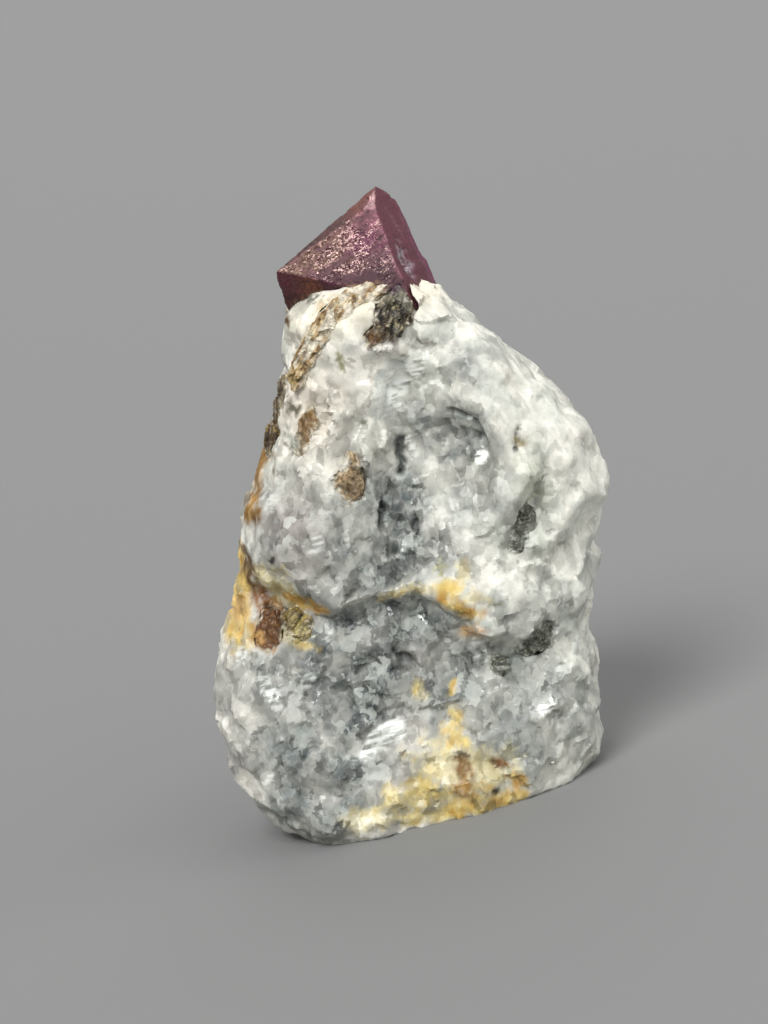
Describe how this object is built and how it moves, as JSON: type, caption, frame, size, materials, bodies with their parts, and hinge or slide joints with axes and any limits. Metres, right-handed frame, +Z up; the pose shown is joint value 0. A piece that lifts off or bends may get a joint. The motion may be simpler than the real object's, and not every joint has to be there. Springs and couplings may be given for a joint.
{
  "type": "ruby crystal on marble matrix",
  "caption": "Blocky purple-red ruby crystal standing out of the top of a broken lump of white to blue-grey calcite marble, with mica and dark grains.",
  "frame": {"origin": "on the surface that the specimen rests on, under the middle of its own box", "axes": "+Z up, away from the flat broken base; -Y towards the front, the face in the picture; +X to the right seen from the front"},
  "size_m": [0.049, 0.0318, 0.068],
  "materials": {
    "marble": "rough broken crystalline surface, faintly translucent",
    "ruby": "glossy striated crystal faces",
    "mica_dark": "pearly cleavage flakes",
    "mica_tan": "pearly cleavage flakes",
    "mica_amber": "pearly cleavage flakes",
    "dark_mineral": "glassy granular"
  },
  "bodies": {
    "root": {"marble_matrix": "marble", "ruby": "ruby", "mica_under_ruby": "mica_dark", "mica_seam": "mica_tan", "mica_left_edge": "mica_dark", "mica_book_amber": "mica_amber", "mica_book_tan": "mica_tan", "mica_red_brown": "mica_amber", "mica_ochre": "mica_amber", "dark_grain_upper": "dark_mineral", "dark_grain_lower": "dark_mineral", "dark_grain_small": "dark_mineral", "mica_book_back": "mica_tan", "mica_clump_back": "mica_dark", "dark_grain_back": "dark_mineral"}
  },
  "joints": []
}
